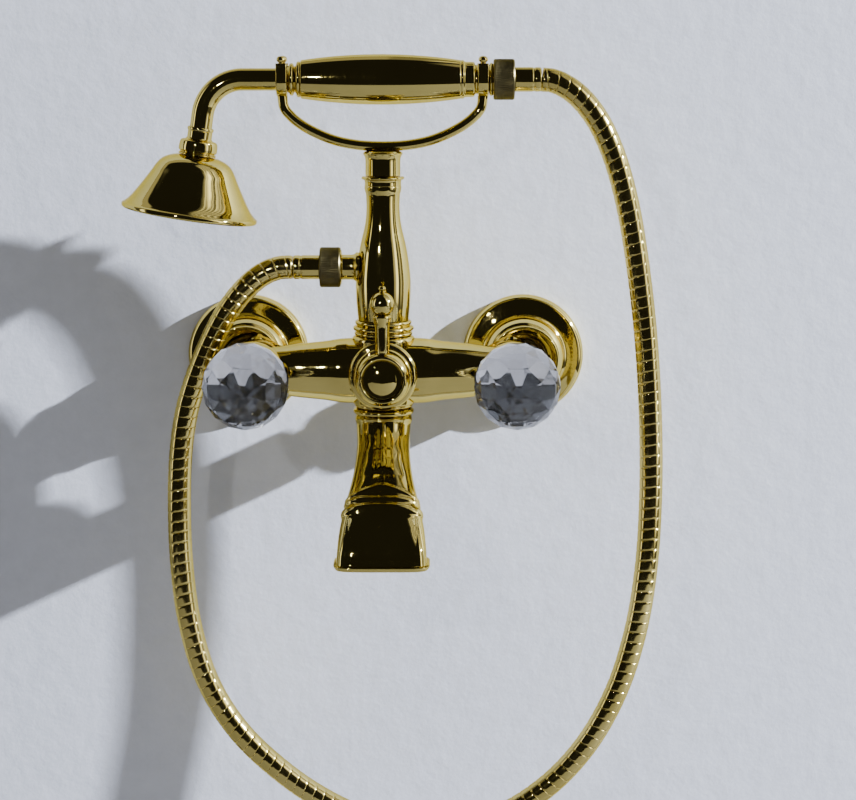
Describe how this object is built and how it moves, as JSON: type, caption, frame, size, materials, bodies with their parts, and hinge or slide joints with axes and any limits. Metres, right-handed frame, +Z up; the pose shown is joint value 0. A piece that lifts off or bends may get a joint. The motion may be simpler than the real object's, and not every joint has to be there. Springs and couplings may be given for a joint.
{
  "type": "wall mounted bath faucet",
  "caption": "Wall mounted bath mixer in polished gold with crystal ball knobs, a diverter lever, a flared spout and a hand shower on a raised cradle with a flexible hose.",
  "frame": {"origin": "on the wall plane, midway between the two wall inlets", "axes": "+X to the right of a person facing the wall, +Y into the wall, +Z up"},
  "size_m": [0.3122, 0.1633, 0.4644],
  "materials": {
    "polished_gold": "mirror polished gold plating on brass",
    "satin_gold": "duller olive gold plating",
    "plain_brass": "machined brass",
    "stainless_steel": "brushed",
    "white_ceramic": "lapped",
    "black_rubber": "matte",
    "fibre_washer": "matte",
    "white_plastic": "matte",
    "cut_crystal": "faceted and polished"
  },
  "bodies": {
    "root": {"aerator": "stainless_steel", "ceramic_disc_fixed_left": "white_ceramic", "ceramic_disc_fixed_right": "white_ceramic", "check_valve": "white_plastic", "column": "polished_gold", "column_base_ring": "polished_gold", "column_collar": "polished_gold", "cradle_arm": "polished_gold", "cradle_fork_left": "polished_gold", "cradle_fork_right": "polished_gold", "cradle_post": "polished_gold", "diverter_bonnet": "polished_gold", "diverter_cartridge": "plain_brass", "eccentric_union_left": "plain_brass", "eccentric_union_right": "plain_brass", "hose": "polished_gold", "hose_ferrule_lower": "polished_gold", "hose_nut_lower": "satin_gold", "hose_outlet": "polished_gold", "hose_washer_lower": "black_rubber", "inlet_washer_left": "fibre_washer", "inlet_washer_right": "fibre_washer", "mixer_body": "polished_gold", "spout": "polished_gold", "spout_collar": "polished_gold", "spout_mouth_plate": "plain_brass", "union_nut_left": "polished_gold", "union_nut_right": "polished_gold", "valve_bonnet_left": "polished_gold", "valve_bonnet_right": "polished_gold", "valve_cartridge_left": "plain_brass", "valve_cartridge_right": "plain_brass", "wall_flange_left": "polished_gold", "wall_flange_right": "polished_gold"},
    "knob_left": {"valve_spindle_left": "plain_brass", "ceramic_disc_turning_left": "white_ceramic", "knob_collar_left": "polished_gold", "knob_crystal_left": "cut_crystal"},
    "knob_right": {"valve_spindle_right": "plain_brass", "ceramic_disc_turning_right": "white_ceramic", "knob_collar_right": "polished_gold", "knob_crystal_right": "cut_crystal"},
    "diverter": {"diverter_spindle": "plain_brass", "diverter_hub": "polished_gold", "diverter_cap": "polished_gold", "diverter_lever": "polished_gold", "diverter_finial": "polished_gold"},
    "handset": {"handset_grip": "polished_gold", "grip_bead_ring": "polished_gold", "grip_end_cap": "polished_gold", "handset_tube": "polished_gold", "handset_connector": "polished_gold", "head_collar": "polished_gold", "head_bell": "polished_gold", "spray_plate": "polished_gold", "hose_washer_upper": "black_rubber", "hose_nut_upper": "satin_gold", "hose_ferrule_upper": "polished_gold"}
  },
  "joints": [
    {"name": "knob_left_turn", "type": "hinge", "parent": "root", "child": "knob_left", "pos_m": [-0.075, -0.127, 0], "axis": [0, -1, 0], "range_deg": [0, 90]},
    {"name": "knob_right_turn", "type": "hinge", "parent": "root", "child": "knob_right", "pos_m": [0.075, -0.127, 0], "axis": [0, 1, 0], "range_deg": [0, 90]},
    {"name": "diverter_turn", "type": "hinge", "parent": "root", "child": "diverter", "pos_m": [0, -0.102, 0], "axis": [0, 1, 0], "range_deg": [0, 90]},
    {"name": "handset_lift", "type": "slide", "parent": "root", "child": "handset", "axis": [0, 0, 1], "range_m": [0, 0.06]}
  ]
}
